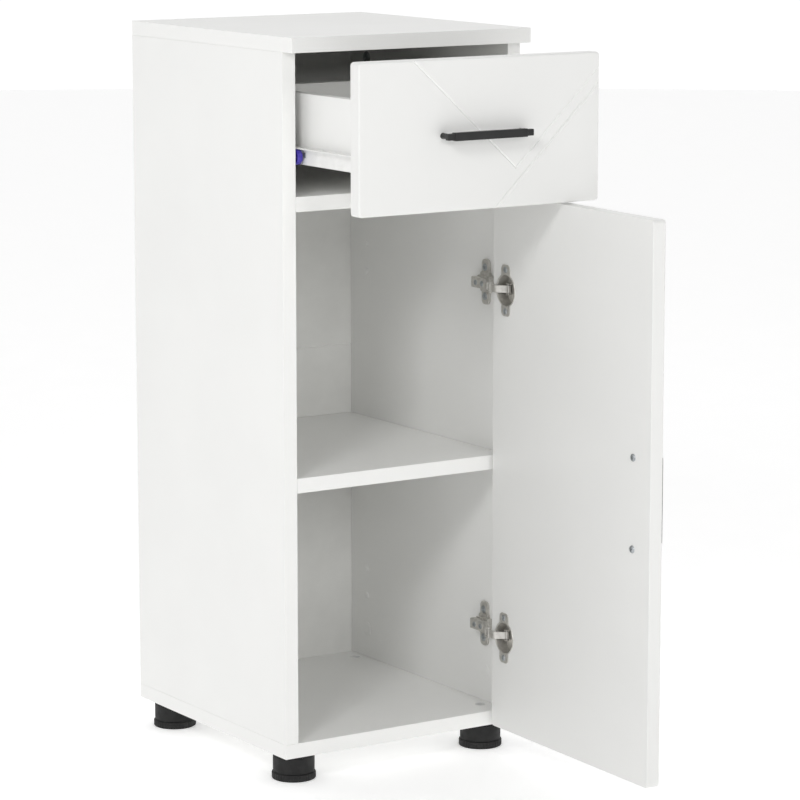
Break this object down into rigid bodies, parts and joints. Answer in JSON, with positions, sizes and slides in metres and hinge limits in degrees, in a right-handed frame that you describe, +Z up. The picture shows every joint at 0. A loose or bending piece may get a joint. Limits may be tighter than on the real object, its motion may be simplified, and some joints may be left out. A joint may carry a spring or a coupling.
{
  "type": "bathroom storage cabinet",
  "caption": "Narrow white floor-standing bathroom cabinet with a grooved drawer front over a right-hung door, one inner shelf, black bar handles and short round levelling feet.",
  "frame": {"origin": "centre of the pattern of the four feet, at floor level", "axes": "+Z up; -Y out through the drawer front and the doorway; +X towards the door's hinges"},
  "size_m": [0.3, 0.6254, 0.8],
  "materials": {
    "carcass_board": "white melamine-faced board, satin",
    "back_board": "white-faced thin hardboard, satin",
    "front_board": "white lacquer-like foil, semi-gloss",
    "drawer_board": "white melamine-faced board, satin",
    "drawer_base": "white-faced thin hardboard, satin",
    "foot_plastic": "black moulded plastic, satin",
    "rail_steel": "white powder-coated steel",
    "roller_plastic": "blue-violet moulded plastic",
    "hinge_nickel": "nickel-plated pressed steel",
    "handle_black": "satin black painted metal",
    "dowel_wood": "plain beech",
    "cap_plastic": "white moulded plastic",
    "zinc_steel": "zinc-plated steel"
  },
  "bodies": {
    "cabinet": {"side_panel_left": "carcass_board", "side_panel_right": "carcass_board", "top_panel": "carcass_board", "bottom_panel": "carcass_board", "drawer_divider": "carcass_board", "adjustable_shelf": "carcass_board", "shelf_pins": "zinc_steel", "back_board_upper": "back_board", "back_board_lower": "back_board", "back_board_nails": "zinc_steel", "dowels": "dowel_wood", "cam_bolts": "zinc_steel", "cam_locks": "zinc_steel", "cover_caps": "cap_plastic", "foot_front_left": "foot_plastic", "foot_front_right": "foot_plastic", "foot_back_left": "foot_plastic", "foot_back_right": "foot_plastic", "runner_left": "rail_steel", "runner_right": "rail_steel", "front_roller_axles": "zinc_steel", "runner_screws": "zinc_steel", "hinge_plate_upper": "hinge_nickel", "hinge_plate_lower": "hinge_nickel", "hinge_arm_upper": "hinge_nickel", "hinge_arm_lower": "hinge_nickel", "hinge_plate_screws": "zinc_steel", "hinge_arm_screws": "zinc_steel", "hinge_arm_pins": "zinc_steel"},
    "drawer": {"drawer_front": "front_board", "drawer_side_left": "drawer_board", "drawer_side_right": "drawer_board", "drawer_back": "drawer_board", "drawer_bottom": "drawer_base", "drawer_rail_left": "rail_steel", "drawer_rail_right": "rail_steel", "rear_roller_axles": "zinc_steel", "drawer_rail_screws": "zinc_steel", "drawer_handle": "handle_black", "drawer_handle_screws": "zinc_steel", "drawer_dowels": "dowel_wood"},
    "hinge_links": {"hinge_link_upper": "hinge_nickel", "hinge_link_lower": "hinge_nickel"},
    "door": {"door_panel": "front_board", "door_handle": "handle_black", "door_handle_screws": "zinc_steel", "hinge_cup_upper": "hinge_nickel", "hinge_cup_lower": "hinge_nickel", "hinge_cup_screws": "zinc_steel", "hinge_cup_pins": "zinc_steel"},
    "front_roller_left": {"front_roller_left": "roller_plastic"},
    "front_roller_right": {"front_roller_right": "roller_plastic"},
    "rear_roller_left": {"rear_roller_left": "roller_plastic"},
    "rear_roller_right": {"rear_roller_right": "roller_plastic"},
    "foot_base_front_left": {"foot_base_front_left": "foot_plastic"},
    "foot_base_front_right": {"foot_base_front_right": "foot_plastic"},
    "foot_base_back_left": {"foot_base_back_left": "foot_plastic"},
    "foot_base_back_right": {"foot_base_back_right": "foot_plastic"}
  },
  "joints": [
    {"name": "drawer_slide", "type": "slide", "parent": "cabinet", "child": "drawer", "axis": [0, -1, 0], "range_m": [-0.127, 0.063]},
    {"name": "hinge_link_swing", "type": "hinge", "parent": "cabinet", "child": "hinge_links", "pos_m": [0.1107, -0.1632, 0.328], "axis": [0, 0, 1], "range_deg": [-1, 44]},
    {"name": "door_swing", "type": "hinge", "parent": "hinge_links", "child": "door", "pos_m": [0.11991, -0.18433, 0.328], "axis": [0, 0, 1], "range_deg": [-132, 3]},
    {"name": "front_roller_left_spin", "type": "hinge", "parent": "cabinet", "child": "front_roller_left", "pos_m": [-0.1284, -0.152, 0.67427], "axis": [1, 0, 0], "continuous": true},
    {"name": "rear_roller_left_spin", "type": "hinge", "parent": "drawer", "child": "rear_roller_left", "pos_m": [-0.1284, -0.048, 0.67543], "axis": [1, 0, 0], "continuous": true},
    {"name": "front_roller_right_spin", "type": "hinge", "parent": "cabinet", "child": "front_roller_right", "pos_m": [0.1284, -0.152, 0.67427], "axis": [1, 0, 0], "continuous": true},
    {"name": "rear_roller_right_spin", "type": "hinge", "parent": "drawer", "child": "rear_roller_right", "pos_m": [0.1284, -0.048, 0.67543], "axis": [1, 0, 0], "continuous": true},
    {"name": "foot_front_left_level", "type": "slide", "parent": "cabinet", "child": "foot_base_front_left", "axis": [0, 0, -1], "range_m": [0, 0.01]},
    {"name": "foot_front_right_level", "type": "slide", "parent": "cabinet", "child": "foot_base_front_right", "axis": [0, 0, -1], "range_m": [0, 0.01]},
    {"name": "foot_back_left_level", "type": "slide", "parent": "cabinet", "child": "foot_base_back_left", "axis": [0, 0, -1], "range_m": [0, 0.01]},
    {"name": "foot_back_right_level", "type": "slide", "parent": "cabinet", "child": "foot_base_back_right", "axis": [0, 0, -1], "range_m": [0, 0.01]}
  ],
  "couplings": [
    {"joint": "hinge_link_swing", "follows": "door_swing", "ratio": -0.33333},
    {"joint": "front_roller_left_spin", "follows": "drawer_slide", "rad_per_m": 117.65},
    {"joint": "rear_roller_left_spin", "follows": "drawer_slide", "rad_per_m": 117.65},
    {"joint": "front_roller_right_spin", "follows": "drawer_slide", "rad_per_m": 117.65},
    {"joint": "rear_roller_right_spin", "follows": "drawer_slide", "rad_per_m": 117.65}
  ]
}
